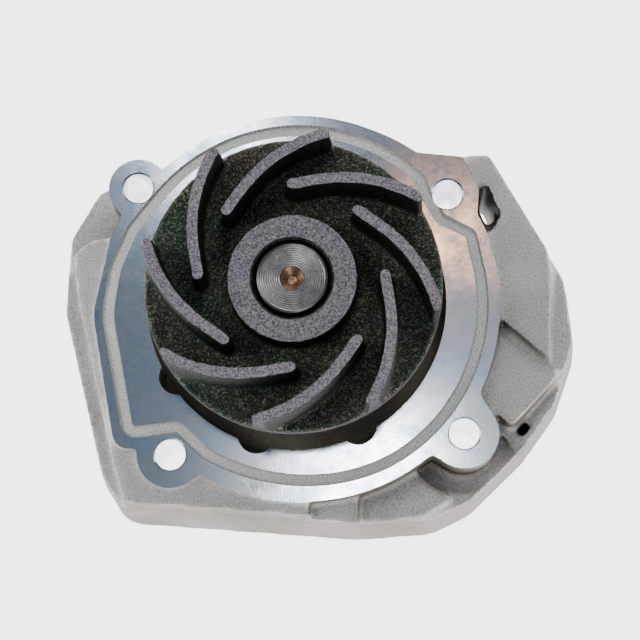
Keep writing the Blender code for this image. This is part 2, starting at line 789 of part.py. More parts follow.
def build():
    clear_scene()
    cast_aluminium = material("cast_aluminium", (0.62, 0.61, 0.59), 0.9, 0.5)
    cast_iron = material("cast_iron", (0.05, 0.05, 0.055), 0.6, 0.65)
    steel = material("ground_steel", (0.55, 0.54, 0.53), 1.0, 0.25)
    sintered_steel = material("sintered_steel", (0.30, 0.29, 0.28), 1.0, 0.45)
    zinc_plate = material("zinc_plated_steel", (0.62, 0.60, 0.52), 1.0, 0.3)
    nylon = material("cage_nylon", (0.75, 0.70, 0.55), 0.0, 0.5)
    rubber = material("seal_rubber", (0.03, 0.03, 0.03), 0.0, 0.7)
    brass = material("seal_case_brass", (0.68, 0.52, 0.25), 1.0, 0.35)
    carbon = material("seal_carbon", (0.06, 0.06, 0.06), 0.2, 0.4)
    ceramic = material("seal_ceramic", (0.85, 0.84, 0.80), 0.0, 0.25)

    rotor = add_axis("rotor_axis")
    axes = {side: add_axis(f"cage_axis_{side}") for side in ROW_Z}
    build_housing(cast_aluminium)
    build_shaft(steel, rotor)
    build_bearing(steel, steel, nylon, rubber, axes)
    build_face_seal(brass, rubber, carbon, ceramic, rotor)
    build_impeller(cast_iron, rotor)
    build_pulley(sintered_steel, zinc_plate, rotor)


build()
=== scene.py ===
"""Engine coolant pump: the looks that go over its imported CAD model.

The shaft lies on +Z with the impeller on top, and the pump stands on its pulley.
Lengths in the outlines are in millimetres, and each mesh is brought to metres when it is made.
"""

import json
import math

import bmesh
import bpy
from mathutils import Matrix, Vector

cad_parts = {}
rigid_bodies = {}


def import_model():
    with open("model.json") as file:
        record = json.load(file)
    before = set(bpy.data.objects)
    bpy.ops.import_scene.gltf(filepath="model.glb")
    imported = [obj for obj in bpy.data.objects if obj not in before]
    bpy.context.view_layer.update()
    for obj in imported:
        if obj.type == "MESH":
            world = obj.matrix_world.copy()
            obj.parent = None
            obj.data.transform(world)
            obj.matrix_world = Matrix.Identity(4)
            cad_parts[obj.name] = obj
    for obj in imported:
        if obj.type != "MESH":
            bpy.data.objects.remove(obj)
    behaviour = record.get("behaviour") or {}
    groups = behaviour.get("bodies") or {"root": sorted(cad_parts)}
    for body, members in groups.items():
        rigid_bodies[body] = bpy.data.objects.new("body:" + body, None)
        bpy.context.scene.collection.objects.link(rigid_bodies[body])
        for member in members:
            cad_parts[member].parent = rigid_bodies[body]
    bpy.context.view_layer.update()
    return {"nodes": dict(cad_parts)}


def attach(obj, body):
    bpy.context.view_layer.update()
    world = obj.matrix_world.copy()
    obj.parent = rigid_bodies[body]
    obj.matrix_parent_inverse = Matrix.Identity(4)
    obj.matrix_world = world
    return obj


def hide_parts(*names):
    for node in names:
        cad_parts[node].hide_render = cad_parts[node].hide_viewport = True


for item in list(bpy.data.objects):
    bpy.data.objects.remove(item, do_unlink=True)
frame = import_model()

# ---------------------------------------------------------------- raw casting
# The housing is one high-pressure die casting in aluminium. Its ring, bosses, side lobes, ribs and
# bearing nose are joined here as solids, then melted together so that every inner corner gets the
# fillet that a die leaves.
FLANGE_Z = 66.0
CAST_FACE_Z = 65.2
LEDGE_Z = 57.0
CAVITY_FLOOR_Z = 54.0
BACK_POCKET_Z = 49.0
BOLT_SEAT_Z = 43.0
HOUSING_BACK_Z = 38.0
NOSE_END_Z = 12.0
STOCK = 1.4
CAST_WALL = 5.0
CAST_DRAFT = 1.6
FACE_DRAFT = 0.6
RING_RADIUS = 44.7
OUTER_RING = (1.7, -1.2, 45.2)
RIB_ANGLES = (20, 75, 125, 175, 235, 290, 335)
RIB_THICKNESS = 4.0
BOSS_WALL = 1.8
COVE_HALF = 5.0
COVE_CUT = (0.72, 0.69, 0.0)
BELOW_BACK_Z = 36.0
CAST_GRAIN_SIZE = 0.00078

SCREW_BOSSES = {
    "upper_left": (-37.4, 27.1, 7.0),
    "upper_right": (35.0, 25.5, 8.0),
    "lower_right": (38.5, -30.8, 8.0),
    "lower_left": (-28.6, -35.8, 7.4),
}

CASTING_CORNERS = [
    (-30.0, 34.0, 3),
    (-47.6, 28.5, 4),
    (-54.2, 17.0, 5),
    (-55.0, -1.0, 8),
    (-45.4, -39.4, 5),
    (-40.4, -47.4, 5),
    (14.0, -51.2, 14),
    (31.0, -49.8, 8),
    (39.6, -45.6, 6),
    (52.3, -33.2, 8),
    (60.0, -22.4, 5),
    (64.6, -9.0, 8),
    (62.8, 6.0, 10),
    (57.4, 13.5, 4),
    (44.6, 36.0, 2.5),
    (29.0, 33.0, 5),
]

RAISED_FACES = {
    "left_face": (
        CAST_FACE_Z,
        [
            (-30.0, 20.0, 0),
            (-43.3, 15.6, 0),
            (-48.5, 14.6, 2),
            (-52.4, 11.5, 2),
            (-51.0, 1.0, 4),
            (-42.1, -36.8, 6),
            (-39.2, -46.6, 2.5),
            (3.2, -49.6, 0),
            (2.0, -36.0, 0),
            (-20.0, -20.0, 0),
        ],
    ),
    "right_face": (
        CAST_FACE_Z,
        [
            (30.0, 5.0, 0),
            (46.6, -3.4, 0),
            (58.3, -13.4, 0),
            (58.8, 6.0, 4),
            (58.2, 12.4, 3),
            (44.8, 35.4, 1.5),
            (40.4, 35.2, 0.8),
            (29.5, 33.0, 0),
        ],
    ),
    "lobe_face": (
        FLANGE_Z - 2.5,
        [
            (55.0, -11.0, 0),
            (61.3, -16.6, 1),
            (63.7, -9.2, 6),
            (62.0, 5.6, 8),
            (57.8, 12.6, 2),
            (52.0, 12.0, 0),
        ],
    ),
    "sunk_face": (
        FLANGE_Z - 4.0,
        [(38.0, -20.0, 0), (49.8, -28.3, 1), (61.0, -16.0, 0), (46.6, -2.4, 0), (35.0, 0.0, 0)],
    ),
    "middle_step": (
        FLANGE_Z - 4.0,
        [(0.0, -38.0, 0), (3.0, -50.4, 0), (14.3, -50.8, 0), (14.3, -38.0, 0)],
    ),
    "right_step": (
        FLANGE_Z - 7.0,
        [(12.0, -38.0, 0), (14.3, -50.8, 0), (29.0, -49.2, 4), (35.6, -45.2, 0), (28.0, -34.0, 0)],
    ),
}

FLANGE_WEBS = {
    "left_bulge": [
        (-30.0, 25.0, 0),
        (-43.6, 13.0, 3),
        (-46.9, -3.0, 12),
        (-41.0, -35.0, 3.5),
        (-20.0, -30.0, 0),
    ],
    "upper_left_web": [
        (-30.0, 26.0, 0),
        (-40.6, 21.6, 0),
        (-43.4, 15.7, 1),
        (-43.9, 11.0, 0),
        (-30.0, 10.0, 0),
    ],
    "upper_right_web": [
        (30.0, 10.0, 0),
        (44.9, 13.0, 0),
        (42.0, 22.0, 3),
        (41.8, 29.0, 3),
        (38.6, 34.6, 1.5),
        (24.0, 36.0, 0),
    ],
    "lower_right_web": [
        (20.0, -30.0, 0),
        (29.8, -34.9, 0),
        (36.0, -38.4, 0),
        (46.3, -31.0, 0),
        (43.7, -24.2, 0),
        (38.0, -15.0, 0),
    ],
}

BOSS_SLOT = [
    (41.9, 20.6, 1),
    (44.7, 15.8, 0.5),
    (47.6, 21.4, 1.5),
    (44.2, 25.9, 2),
    (40.0, 34.0, 0),
    (38.6, 33.8, 0),
    (42.4, 26.6, 1),
]
LENS_OPENING = [(42.4, 25.6, 1.5), (44.6, 19.5, 0.4), (46.6, 22.0, 1.5), (44.2, 29.5, 0.4)]
RIM_OPENING = [(50.6, -29.4, 0.4), (51.8, -31.0, 0.4), (58.6, -21.8, 1), (60.6, -18.2, 0)]


def moved_out(outline, distance):
    """Anticlockwise outline moved outwards by a distance, or inwards by a negative one."""
    moved = []
    for index, point in enumerate(outline):
        here = Vector(point)
        before = (here - Vector(outline[index - 1])).normalized()
        after = (Vector(outline[(index + 1) % len(outline)]) - here).normalized()
        normal = Vector((before.y + after.y, -before.x - after.x)).normalized()
        stretch = 1.0 / max(0.5, normal.dot(Vector((before.y, -before.x))))
        moved.append(tuple(here + normal * distance * stretch))
    return moved


def round_corners(corners, steps=6):
    """Outline through (x, y, radius) corners, each turned into an arc of its radius."""
    outline = []
    for index, (x, y, radius) in enumerate(corners):
        here = Vector((x, y))
        back = (Vector(corners[index - 1][:2]) - here).normalized()
        ahead = (Vector(corners[(index + 1) % len(corners)][:2]) - here).normalized()
        half = back.angle(ahead) / 2
        centre = here + (back + ahead).normalized() * radius / math.sin(half)
        spoke = here + back * radius / math.tan(half) - centre
        sweep = (math.pi - 2 * half) * (1 if back.cross(ahead) < 0 else -1)
        for step in range(steps + 1 if radius else 1):
            outline.append(tuple(centre + Matrix.Rotation(sweep * step / steps, 2) @ spoke))
    return outline


def block(outline, low, high, draft=0.0):
    """Block over an anticlockwise outline; its low end is wider all round by the draft."""
    bm = bmesh.new()
    top = bm.faces.new([bm.verts.new((x, y, high)) for x, y in outline])
    lowered = bmesh.ops.extrude_face_region(bm, geom=[top])["geom"]
    foot = next(item for item in lowered if isinstance(item, bmesh.types.BMFace))
    for corner, (x, y) in zip(foot.verts, moved_out(outline, draft)):
        corner.co = (x, y, low)
    return bm


def post(centre, radius, low, high, steps=48):
    """Upright round bar between two heights."""
    bm = bmesh.new()
    place = Matrix.Translation((centre[0], centre[1], (low + high) / 2))
    bmesh.ops.create_cone(
        bm,
        cap_ends=True,
        segments=steps,
        radius1=radius,
        radius2=radius,
        depth=high - low,
        matrix=place,
    )
    return bm


def lathe(profile, steps=96):
    """Solid of revolution round Z from a (radius, height) outline; ends at radius 0 stay open."""
    bm = bmesh.new()
    verts = [bm.verts.new((radius, 0.0, z)) for radius, z in profile]
    edges = [bm.edges.new(pair) for pair in zip(verts, verts[1:])]
    if profile[0][0] > 0:
        edges.append(bm.edges.new((verts[-1], verts[0])))
    bmesh.ops.spin(
        bm,
        geom=verts + edges,
        cent=(0, 0, 0),
        axis=(0, 0, 1),
        angle=math.tau,
        steps=steps,
        use_merge=True,
    )
    bmesh.ops.remove_doubles(bm, verts=bm.verts, dist=1e-4)
    return bm


def place_solid(name, bm, finish=None):
    """Object in metres from a mesh in millimetres, its faces all pointing outwards."""
    bmesh.ops.recalc_face_normals(bm, faces=bm.faces)
    bm.transform(Matrix.Diagonal((0.001, 0.001, 0.001, 1.0)))
    mesh = bpy.data.meshes.new(name)
    bm.to_mesh(mesh)
    bm.free()
    if finish:
        mesh.materials.append(finish)
    made = bpy.data.objects.new(name, mesh)
    bpy.context.scene.collection.objects.link(made)
    return made


def work(target, bm, operation, finish=None):
    """Joins a solid to a piece or cuts it away; a cut leaves its own finish on the faces it makes."""
    other = place_solid("tool", bm, finish)
    step = target.modifiers.new("work", "BOOLEAN")
    step.operation = operation
    step.solver = "EXACT"
    step.material_mode = "TRANSFER"
    step.object = other


def settle(piece):
    """Works out a piece's modifiers into its mesh, and removes the solids that shaped it."""
    graph = bpy.context.evaluated_depsgraph_get()
    shaped = bpy.data.meshes.new_from_object(piece.evaluated_get(graph), depsgraph=graph)
    tools = [step.object for step in piece.modifiers if step.type == "BOOLEAN"]
    piece.modifiers.clear()
    spare = piece.data
    piece.data = shaped
    bpy.data.meshes.remove(spare)
    for used in tools:
        bpy.data.objects.remove(used, do_unlink=True)
    shaped.name = piece.name


def melt(piece, grain, passes):
    """Closes a joined solid into one skin and softens it, as molten metal fills a die."""
    skin = piece.modifiers.new("skin", "REMESH")
    skin.mode = "VOXEL"
    skin.voxel_size = grain
    skin.use_smooth_shade = True
    soften = piece.modifiers.new("soften", "SMOOTH")
    soften.factor = 0.5
    soften.iterations = passes
    settle(piece)


def casting_outline(inset=0.0):
    places = moved_out([(x, y) for x, y, _ in CASTING_CORNERS], -inset)
    radii = [max(1.0, radius - inset) for _, _, radius in CASTING_CORNERS]
    return round_corners([(x, y, radius) for (x, y), radius in zip(places, radii)])


def nose_stock():
    return lathe(
        [
            (0.0, NOSE_END_Z),
            (19.0, NOSE_END_Z),
            (20.0, NOSE_END_Z + 1.0),
            (20.0, HOUSING_BACK_Z - 4.0),
            (24.5, HOUSING_BACK_Z + 6.0),
            (24.5, CAVITY_FLOOR_Z - 1.0),
            (0.0, CAVITY_FLOOR_Z - 1.0),
        ]
    )


housing = place_solid("pump_housing_cast", block(casting_outline(), HOUSING_BACK_Z, LEDGE_Z, CAST_DRAFT))
for top, corners in RAISED_FACES.values():
    work(housing, block(round_corners(corners), LEDGE_Z - 2.0, top, FACE_DRAFT), "UNION")
cove_x, cove_y, _ = SCREW_BOSSES["lower_right"]
cove = lathe(
    [(0.0, 54.6), (9.6, 54.6), (11.6, 55.6), (13.0, 57.4), (13.6, 60.0), (13.6, 70.0), (0.0, 70.0)]
)
cove.transform(Matrix.Translation((cove_x, cove_y, 0.0)))
bmesh.ops.bisect_plane(
    cove,
    geom=cove.verts[:] + cove.edges[:] + cove.faces[:],
    plane_co=(cove_x + COVE_HALF, cove_y + COVE_HALF, 0.0),
    plane_no=COVE_CUT,
    clear_outer=True,
)
bmesh.ops.holes_fill(cove, edges=[edge for edge in cove.edges if edge.is_boundary])
work(housing, cove, "DIFFERENCE")
work(housing, post((0, 0), RING_RADIUS, BACK_POCKET_Z + 0.5, FLANGE_Z + STOCK, 160), "UNION")
work(housing, post(OUTER_RING[:2], OUTER_RING[2], LEDGE_Z - 4.0, FLANGE_Z + STOCK, 160), "UNION")
for corners in FLANGE_WEBS.values():
    work(housing, block(round_corners(corners), LEDGE_Z - 3.0, FLANGE_Z + STOCK), "UNION")
for x, y, radius in SCREW_BOSSES.values():
    work(housing, post((x, y), radius, BOLT_SEAT_Z + 3.0, FLANGE_Z + STOCK), "UNION")
hollow = place_solid(
    "hollow", block(casting_outline(CAST_WALL), HOUSING_BACK_Z - 2.0, BACK_POCKET_Z)
)
work(hollow, nose_stock(), "DIFFERENCE")
for angle in RIB_ANGLES:
    rib = bmesh.new()
    bmesh.ops.create_cube(rib, size=1.0)
    rib.transform(Matrix.Diagonal((60.0, RIB_THICKNESS, 28.0, 1.0)))
    rib.transform(Matrix.Translation((40.0, 0.0, HOUSING_BACK_Z + 17.0)))
    rib.transform(Matrix.Rotation(math.radians(angle), 4, "Z"))
    work(hollow, rib, "DIFFERENCE")
for x, y, radius in SCREW_BOSSES.values():
    work(hollow, post((x, y), radius + BOSS_WALL, BOLT_SEAT_Z - 0.6, FLANGE_Z - 4.0), "DIFFERENCE")
settle(hollow)
cut = housing.modifiers.new("hollow", "BOOLEAN")
cut.operation = "DIFFERENCE"
cut.solver = "EXACT"
cut.object = hollow
work(housing, nose_stock(), "UNION")
work(housing, block(round_corners(BOSS_SLOT), LEDGE_Z, FLANGE_Z + 3.0), "DIFFERENCE")
work(housing, block(round_corners(LENS_OPENING), BELOW_BACK_Z, FLANGE_Z + 3.0), "DIFFERENCE")
work(housing, block(round_corners(RIM_OPENING), 47.0, FLANGE_Z), "DIFFERENCE")
melt(housing, CAST_GRAIN_SIZE, 2)

# ---------------------------------------------------------------- cast and cut aluminium
# As-cast skin is light grey with a fine sandy grain, flow shading and small pits. Upright sides
# get painted shade, and inner corners painted shade too. Cut faces are bright, with the faint arcs a
# face mill leaves.


def shader_graph(name):
    """A new finish: its node list, its link function and its surface shader."""
    made = bpy.data.materials.new(name)
    made.use_nodes = True
    nodes = made.node_tree.nodes
    return made, nodes, made.node_tree.links.new, nodes["Principled BSDF"]


def object_place(nodes):
    return nodes.new("ShaderNodeTexCoord").outputs["Object"]


def cloud(nodes, join, place, scale, detail, roughness):
    made = nodes.new("ShaderNodeTexNoise")
    made.inputs["Scale"].default_value = scale
    made.inputs["Detail"].default_value = detail
    made.inputs["Roughness"].default_value = roughness
    join(place, made.inputs["Vector"])
    return made.outputs["Fac"]


def tones(nodes, join, value, stops):
    """Colour or grey level along a value, from (position, colour) stops."""
    made = nodes.new("ShaderNodeValToRGB")
    ramp = made.color_ramp
    while len(ramp.elements) < len(stops):
        ramp.elements.new(0.5)
    for element, (at, colour) in zip(ramp.elements, stops):
        element.position = at
        element.color = (*colour, 1.0)
    join(value, made.inputs["Fac"])
    return made.outputs["Color"]


def grey(level):
    return (level, level, level)


def times(nodes, join, first, second):
    """One colour multiplied by another."""
    made = nodes.new("ShaderNodeMix")
    made.data_type = "RGBA"
    made.blend_type = "MULTIPLY"
    made.inputs["Factor"].default_value = 1.0
    join(first, made.inputs["A"])
    join(second, made.inputs["B"])
    return made.outputs["Result"]


def relief(nodes, join, height, strength, depth, under=None):
    made = nodes.new("ShaderNodeBump")
    made.inputs["Strength"].default_value = strength
    made.inputs["Distance"].default_value = depth
    join(height, made.inputs["Height"])
    if under:
        join(under, made.inputs["Normal"])
    return made.outputs["Normal"]


def painted_corner_shade(nodes, join, colour, reach, deep):
    """Painted shade: darkens a colour in inner corners, where shade falls."""
    made = nodes.new("ShaderNodeAmbientOcclusion")
    made.samples = 6
    made.only_local = True
    made.inputs["Distance"].default_value = reach
    shade = tones(nodes, join, made.outputs["AO"], [(0.35, deep), (0.85, grey(1.0))])
    return times(nodes, join, colour, shade)


def painted_side_shade(nodes, join, colour, side_shade):
    """Painted shade: multiplies a colour by a darker shade on upright faces, and leaves level ones
    alone.
    """
    facing = nodes.new("ShaderNodeSeparateXYZ")
    join(nodes.new("ShaderNodeNewGeometry").outputs["Normal"], facing.inputs["Vector"])
    level = nodes.new("ShaderNodeMath")
    level.operation = "ABSOLUTE"
    join(facing.outputs["Z"], level.inputs[0])
    shade = tones(nodes, join, level.outputs["Value"], [(0.15, side_shade), (0.8, grey(1.0))])
    return times(nodes, join, colour, shade)


def cast_aluminium(name, light, dark, side_shade, corner=(0.22, 0.20, 0.18)):
    made, nodes, join, skin = shader_graph(name)
    place = object_place(nodes)
    flow = cloud(nodes, join, place, 55.0, 5.0, 0.55)
    sand = cloud(nodes, join, place, 2500.0, 3.0, 0.75)
    colour = tones(nodes, join, flow, [(0.30, dark), (0.62, light)])
    grains = [(0.34, grey(0.50)), (0.50, grey(0.96)), (0.70, grey(1.28))]
    speck = tones(nodes, join, sand, grains)
    colour = times(nodes, join, colour, speck)
    # Painted shade: upright sides are darkened.
    colour = painted_side_shade(nodes, join, colour, side_shade)
    # Painted shade: inner corners are darkened.
    colour = painted_corner_shade(nodes, join, colour, 0.003, corner)
    join(colour, skin.inputs["Base Color"])
    skin.inputs["Metallic"].default_value = 0.55
    rough = tones(nodes, join, flow, [(0.3, grey(0.62)), (0.7, grey(0.48))])
    join(rough, skin.inputs["Roughness"])
    pits = nodes.new("ShaderNodeTexVoronoi")
    pits.inputs["Scale"].default_value = 420.0
    join(place, pits.inputs["Vector"])
    dents = tones(nodes, join, pits.outputs["Distance"], [(0.0, grey(0.0)), (0.16, grey(1.0))])
    first = relief(nodes, join, sand, 0.55, 0.00022)
    second = relief(nodes, join, flow, 0.35, 0.0006, first)
    join(relief(nodes, join, dents, 0.12, 0.0001, second), skin.inputs["Normal"])
    return made


def milled_aluminium(name, tint, swirl_centre):
    made, nodes, join, skin = shader_graph(name)
    place = object_place(nodes)
    swirl = nodes.new("ShaderNodeMapping")
    swirl.inputs["Location"].default_value = swirl_centre
    join(place, swirl.inputs["Vector"])
    arcs = nodes.new("ShaderNodeTexWave")
    arcs.wave_type = "RINGS"
    arcs.rings_direction = "Z"
    arcs.inputs["Scale"].default_value = 420.0
    arcs.inputs["Distortion"].default_value = 1.2
    arcs.inputs["Detail"].default_value = 3.0
    arcs.inputs["Detail Scale"].default_value = 2.0
    join(swirl.outputs["Vector"], arcs.inputs["Vector"])
    patches = cloud(nodes, join, place, 95.0, 7.0, 0.7)
    fine = cloud(nodes, join, place, 900.0, 2.0, 0.5)
    # In cloudy patches the face turns a darker, bluer grey.
    darker_bluer_tint = tuple(v * t for v, t in zip(tint, (0.46, 0.57, 0.70)))
    colour = tones(nodes, join, patches, [(0.38, darker_bluer_tint), (0.60, tint)])
    line = tones(nodes, join, arcs.outputs["Fac"], [(0.0, grey(0.96)), (1.0, grey(1.0))])
    colour = times(nodes, join, colour, line)
    join(colour, skin.inputs["Base Color"])
    skin.inputs["Metallic"].default_value = 1.0
    rough = tones(nodes, join, patches, [(0.3, grey(0.18)), (0.7, grey(0.09))])
    join(rough, skin.inputs["Roughness"])
    first = relief(nodes, join, arcs.outputs["Fac"], 0.03, 0.00002)
    join(relief(nodes, join, fine, 0.10, 0.00004, first), skin.inputs["Normal"])
    return made


# Its last two colours are painted shade: one for upright faces and one for inner corners.
cast_skin = cast_aluminium(
    "cast_skin", (0.72, 0.69, 0.65), (0.56, 0.535, 0.50), (0.24, 0.215, 0.19), (0.13, 0.115, 0.10)
)
# The cavity's skin is dark brown: partly a residue tint, partly painted shade for the hollow under the
# impeller.
cavity_residue_and_shade = cast_aluminium("cavity_residue_and_shade", (0.34, 0.29, 0.23), (0.20, 0.17, 0.135), grey(0.7))
# Painted light: the as-cast channel is much lighter than the cast skin elsewhere, with weak painted side
# and corner shade.
groove_painted_light_skin = cast_aluminium(
    "groove_painted_light_skin", (0.93, 0.91, 0.87), (0.82, 0.80, 0.765), grey(0.8), grey(0.92)
)
milled = milled_aluminium("milled_face", (0.90, 0.91, 0.93), (0.12, 0.05, 0.0))
bored = milled_aluminium("bored_metal", (0.72, 0.71, 0.70), (0.0, 0.0, 0.0))

# ---------------------------------------------------------------- machining the housing
# The flange face is milled flat in one pass, with the sealing channel left as cast between its two
# bright lands. The impeller cavity stays as cast; screw holes, seats and bearing bores are cut.
GROOVE_RADIUS = 41.0
GROOVE_WIDTH = 2.9
GROOVE_DEPTH = 0.8
GROOVE_FLARE = (240, 245, 60)
CAVITY_RADIUS = 34.6
LOBE_ANGLES = (213, 254, 296)
LOBE_RADIUS = 4.2
SCREW_HOLE_RADIUS = 3.5
SCREW_HOLE_MOUTH = 3.85
BEARING_BORE_RADIUS = 15.3
SEAL_BORE_RADIUS = 18.6
WEEP_RADIUS = 1.8


def arc_points(centre, radius, start, end, steps):
    angles = [math.radians(start + (end - start) * i / steps) for i in range(steps + 1)]
    return [(centre[0] + radius * math.cos(a), centre[1] + radius * math.sin(a)) for a in angles]


def groove_line():
    """Middle of the channel: it widens its sweep gently at the foot and steps past two screw holes."""
    corners = [(x, y, 0) for x, y in arc_points((0, 0), GROOVE_RADIUS, 46, 142, 60)]
    corners += [(-38.3, 17.6, 12), (-42.3, 8.0, 14), (-43.9, -3.0, 20), (-38.4, -30.8, 2.5)]
    corners.append((-27.0, -29.4, 1.6))
    start, flare_start, flare_sweep = GROOVE_FLARE
    for step in range(66):
        angle = start + 2 * step
        ease = min(1.0, max(0.0, (angle - flare_start) / flare_sweep))
        ease = ease * ease * (3 - 2 * ease)
        centre = (ease, -0.5 * ease)
        x, y = arc_points(centre, GROOVE_RADIUS + ease, angle, angle, 1)[0]
        corners.append((x, y, 0))
    corners += [(40.4, 16.0, 2), (33.4, 19.6, 4), (30.2, 25.0, 4)]
    return round_corners(corners)


def channel(outline, width, low, high):
    """Closed channel that follows an outline, narrower at its floor."""
    rows = []
    bm = bmesh.new()
    for half, z in ((width / 2, high), (width / 2 - 0.1, low + 0.35), (width / 2 - 0.5, low)):
        for side in (1, -1):
            places = moved_out(outline, side * half)
            rows.append([bm.verts.new((x, y, z)) for x, y in places])
    order = [rows[0], rows[2], rows[4], rows[5], rows[3], rows[1]]
    for first, second in zip(order, order[1:] + order[:1]):
        for index in range(len(outline)):
            after = (index + 1) % len(outline)
            bm.faces.new((first[index], first[after], second[after], second[index]))
    return bm


housing.data.materials.clear()
housing.data.materials.append(cast_skin)
mill = bmesh.new()
bmesh.ops.create_cube(mill, size=1.0)
mill.transform(Matrix.Diagonal((200.0, 200.0, 20.0, 1.0)))
mill.transform(Matrix.Translation((0.0, 0.0, FLANGE_Z + 10.0)))
work(housing, mill, "DIFFERENCE", milled)
cavity = place_solid(
    "cavity", post((0, 0), CAVITY_RADIUS, CAVITY_FLOOR_Z, FLANGE_Z + 3.0, 200), cavity_residue_and_shade
)
for angle in LOBE_ANGLES:
    at = arc_points((0, 0), CAVITY_RADIUS - 2.0, angle, angle, 1)[0]
    work(cavity, post(at, LOBE_RADIUS, CAVITY_FLOOR_Z + 1.0, FLANGE_Z + 3.0, 40), "UNION", cavity_residue_and_shade)
settle(cavity)
scoop = housing.modifiers.new("cavity", "BOOLEAN")
scoop.operation = "DIFFERENCE"
scoop.solver = "EXACT"
scoop.material_mode = "TRANSFER"
scoop.object = cavity
groove = channel(groove_line(), GROOVE_WIDTH, FLANGE_Z - GROOVE_DEPTH, FLANGE_Z + 2.0)
work(housing, groove, "DIFFERENCE", groove_painted_light_skin)
for x, y, radius in SCREW_BOSSES.values():
    drill = lathe(
        [
            (0.0, BELOW_BACK_Z),
            (SCREW_HOLE_RADIUS, BELOW_BACK_Z),
            (SCREW_HOLE_RADIUS, FLANGE_Z - 0.35),
            (SCREW_HOLE_MOUTH, FLANGE_Z),
            (SCREW_HOLE_MOUTH, FLANGE_Z + 2.0),
            (0.0, FLANGE_Z + 2.0),
        ],
        64,
    )
    drill.transform(Matrix.Translation((x, y, 0.0)))
    work(housing, drill, "DIFFERENCE", bored)
    seat = post((x, y), radius + 0.3, BELOW_BACK_Z, BOLT_SEAT_Z, 64)
    work(housing, seat, "DIFFERENCE", milled)
bores = lathe(
    [
        (0.0, NOSE_END_Z - 2.0),
        (16.1, NOSE_END_Z - 2.0),
        (16.1, NOSE_END_Z),
        (BEARING_BORE_RADIUS, NOSE_END_Z + 0.8),
        (BEARING_BORE_RADIUS, 45.3),
        (13.0, 45.3),
        (13.0, 47.0),
        (SEAL_BORE_RADIUS, 47.0),
        (SEAL_BORE_RADIUS, CAVITY_FLOOR_Z - 0.6),
        (19.2, CAVITY_FLOOR_Z),
        (19.2, CAVITY_FLOOR_Z + 2.0),
        (0.0, CAVITY_FLOOR_Z + 2.0),
    ],
    128,
)
work(housing, bores, "DIFFERENCE", bored)
facing_cut = lathe([(0.0, 8.0), (22.0, 8.0), (22.0, 12.25), (0.0, 12.25)], 96)
work(housing, facing_cut, "DIFFERENCE", milled)
weep = post((0, 0), WEEP_RADIUS, 0.0, 20.0, 32)
weep.transform(Matrix.Rotation(math.radians(90), 4, "X"))
weep.transform(Matrix.Translation((0.0, -10.0, 46.0)))
work(housing, weep, "DIFFERENCE", bored)
settle(housing)
housing.data.shade_smooth()
housing.data.set_sharp_from_angle(angle=math.radians(38))
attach(housing, "housing")
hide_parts("pump_housing")

# ---------------------------------------------------------------- impeller
# One sand casting in black iron: a disc with a hub and eight backward-curved vanes. The vane tops
# and the hub's face are cut to size, which leaves grey metal with black pores; the rest is raw.
DISC_Z = (81.4, 84.4)
DISC_RADIUS = 33.5
HUB_TOP_Z = 90.6
HUB_BACK_Z = 63.4
VANE_TOP_Z = 94.4
VANE_COUNT = 8
VANE_THICKNESS = 2.9
VANE_TOP_INSET = 0.3
VANE_DRAFT = 0.6
VANE_INNER_RADIUS = 20.4
VANE_SWEEP = math.radians(59)
VANE_CURVE = 1.45
BORE_RADIUS = 8.26
COUNTERBORE_RADIUS = 8.81
IRON_GRAIN_SIZE = 0.0005


def vane_plan(inset):
    """Outline of one vane seen from above: it bows back from the hub, and its inner end is round."""
    half = VANE_THICKNESS / 2 - inset
    steps = 24
    line = []
    for step in range(steps + 1):
        share = step / steps
        reach = DISC_RADIUS - 0.4 - VANE_INNER_RADIUS
        radius = VANE_INNER_RADIUS + reach * share**VANE_CURVE
        angle = -VANE_SWEEP * share
        line.append(Vector((radius * math.cos(angle), radius * math.sin(angle))))
    left, right = [], []
    for index, point in enumerate(line):
        along = (line[min(index + 1, steps)] - line[max(index - 1, 0)]).normalized()
        side = Vector((-along.y, along.x)) * half
        left.append(tuple(point + side))
        right.append(tuple(point - side))
    start = line[0]
    ahead = (line[1] - start).normalized()
    across = Vector((-ahead.y, ahead.x))
    nose = []
    for step in range(1, 6):
        turn = math.pi * step / 6
        offset = across * math.cos(turn) - ahead * math.sin(turn)
        nose.append(tuple(start + offset * half))
    return nose + right + left[::-1]


def iron(name, base, middle, speck, roughness, grain, glitter, drift):
    """Iron skin: a rough grain with light specks; glitter is how much bare metal shows in it."""
    made, nodes, join, skin = shader_graph(name)
    place = object_place(nodes)
    rough = cloud(nodes, join, place, grain, 8.0, 0.75)
    tiny = cloud(nodes, join, place, grain * 3.2, 3.0, 0.8)
    wide = cloud(nodes, join, place, 60.0, 4.0, 0.5)
    colour = tones(nodes, join, tiny, [(0.40, base), (0.54, middle), (0.68, speck)])
    patch = tones(nodes, join, wide, [(0.35, drift[0]), (0.65, drift[1])])
    colour = times(nodes, join, colour, patch)
    # Painted shade: upright faces, such as the vane walls, are darkened.
    colour = painted_side_shade(nodes, join, colour, grey(0.22))
    join(colour, skin.inputs["Base Color"])
    shine = tones(nodes, join, tiny, [(0.5, grey(roughness)), (0.72, grey(roughness - glitter))])
    join(shine, skin.inputs["Roughness"])
    skin.inputs["Metallic"].default_value = 0.55
    first = relief(nodes, join, rough, 0.9, 0.0005)
    join(relief(nodes, join, tiny, 0.5, 0.00015, first), skin.inputs["Normal"])
    return made


green_to_brown = ((0.72, 1.0, 0.80), (1.15, 1.0, 0.86))
violet_greys = ((0.96, 0.94, 1.0), (1.06, 1.0, 1.0))
black, dull, bright = (0.010, 0.011, 0.010), (0.050, 0.054, 0.045), (0.33, 0.35, 0.29)
raw_iron = iron("raw_iron", black, dull, bright, 0.52, 680.0, 0.28, green_to_brown)
pore, face, shine = (0.10, 0.096, 0.102), (0.34, 0.325, 0.34), (0.56, 0.54, 0.56)
cut_iron = iron("cut_iron", pore, face, shine, 0.46, 760.0, 0.12, violet_greys)

